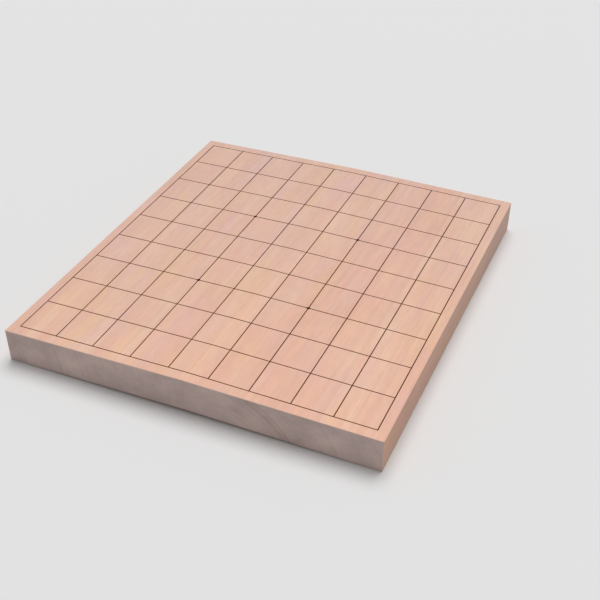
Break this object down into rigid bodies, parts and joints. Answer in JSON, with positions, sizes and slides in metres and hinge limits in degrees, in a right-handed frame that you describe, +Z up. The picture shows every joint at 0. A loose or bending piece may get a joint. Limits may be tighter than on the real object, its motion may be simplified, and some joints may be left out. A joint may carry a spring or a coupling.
{
  "type": "folding shogi board",
  "caption": "Folding wooden shogi board: its lined halves swing underside to underside on butt hinges let into the wood.",
  "frame": {"origin": "on the table under the middle of the seam, with the board lying open", "axes": "X across the two halves, Y along the seam and the files, Z up out of the playing surface"},
  "size_m": [0.328, 0.364, 0.0325],
  "materials": {
    "board_wood": "fine pale softwood, planed and waxed, satin",
    "line_lacquer": "thin dark brown lacquer line, semi-gloss",
    "hinge_brass": "rolled brass, lightly dulled",
    "pin_brass": "drawn brass wire, riveted ends",
    "screw_brass": "turned brass, slotted head"
  },
  "bodies": {
    "left": {"left_half": "board_wood", "grid_lines_left": "line_lacquer", "front_hinge_left_leaf": "hinge_brass", "front_hinge_pin": "pin_brass", "front_hinge_left_screws": "screw_brass", "rear_hinge_left_leaf": "hinge_brass", "rear_hinge_pin": "pin_brass", "rear_hinge_left_screws": "screw_brass"},
    "right": {"right_half": "board_wood", "grid_lines_right": "line_lacquer", "front_hinge_right_leaf": "hinge_brass", "front_hinge_right_screws": "screw_brass", "rear_hinge_right_leaf": "hinge_brass", "rear_hinge_right_screws": "screw_brass"}
  },
  "joints": [
    {"name": "fold", "type": "hinge", "parent": "left", "child": "right", "pos_m": [0, 0, 0.00225], "axis": [0, 1, 0], "range_deg": [0, 178.3]}
  ]
}
